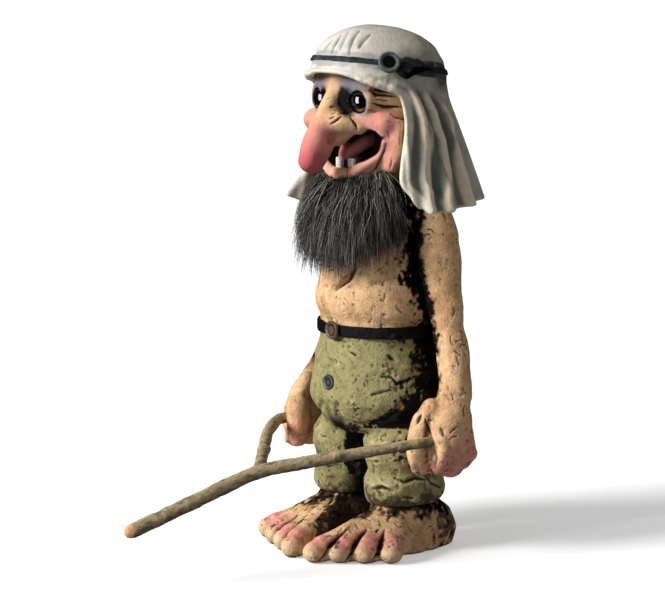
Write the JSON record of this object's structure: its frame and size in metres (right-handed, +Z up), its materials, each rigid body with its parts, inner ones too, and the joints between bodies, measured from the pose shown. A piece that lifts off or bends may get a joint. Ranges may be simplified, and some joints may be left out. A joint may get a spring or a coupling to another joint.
{
  "type": "norwegian troll figure",
  "caption": "Folk troll figure standing barefoot in a folded headscarf and belted trousers, with a long nose and beard, gripping a forked divining twig that pulls out of its fists.",
  "frame": {"origin": "on the floor, under the middle of the whole outline with the twig", "axes": "+Z up, -Y the way the figure faces, +X its own left"},
  "size_m": [0.1088, 0.1846, 0.2303],
  "materials": {
    "trouser_paint": "painted cast resin",
    "torso_paint": "painted cast resin",
    "skin_paint": "painted cast resin",
    "scarf_paint": "painted cast resin",
    "band_paint": "painted cast resin",
    "trim_metal": "dull painted metal",
    "eye_glass": "glossy glass doll eye, painted behind",
    "tongue_paint": "painted cast resin",
    "tooth_enamel": "glossy white",
    "beard_fur": "long fur",
    "belt_leather": "dark strap",
    "twig_bark": "natural bark",
    "peg_wood": "plain"
  },
  "bodies": {
    "figure": {"trousers": "trouser_paint", "torso": "torso_paint", "left_foot": "skin_paint", "right_foot": "skin_paint", "left_arm": "skin_paint", "right_arm": "skin_paint", "head": "skin_paint", "headscarf": "scarf_paint", "headband": "band_paint", "headband_rosette": "trim_metal", "left_eye": "eye_glass", "right_eye": "eye_glass", "tongue": "tongue_paint", "left_tooth": "tooth_enamel", "right_tooth": "tooth_enamel", "beard": "beard_fur", "belt": "belt_leather", "belt_buckle": "trim_metal", "trouser_button": "trim_metal", "neck_peg": "peg_wood", "waist_peg": "peg_wood", "left_shoulder_peg": "peg_wood", "right_shoulder_peg": "peg_wood", "left_ankle_peg": "peg_wood", "right_ankle_peg": "peg_wood"},
    "twig": {"divining_twig": "twig_bark"}
  },
  "joints": [
    {"name": "twig_pull", "type": "slide", "parent": "figure", "child": "twig", "axis": [0, -1, 0], "range_m": [0, 0.04]}
  ]
}
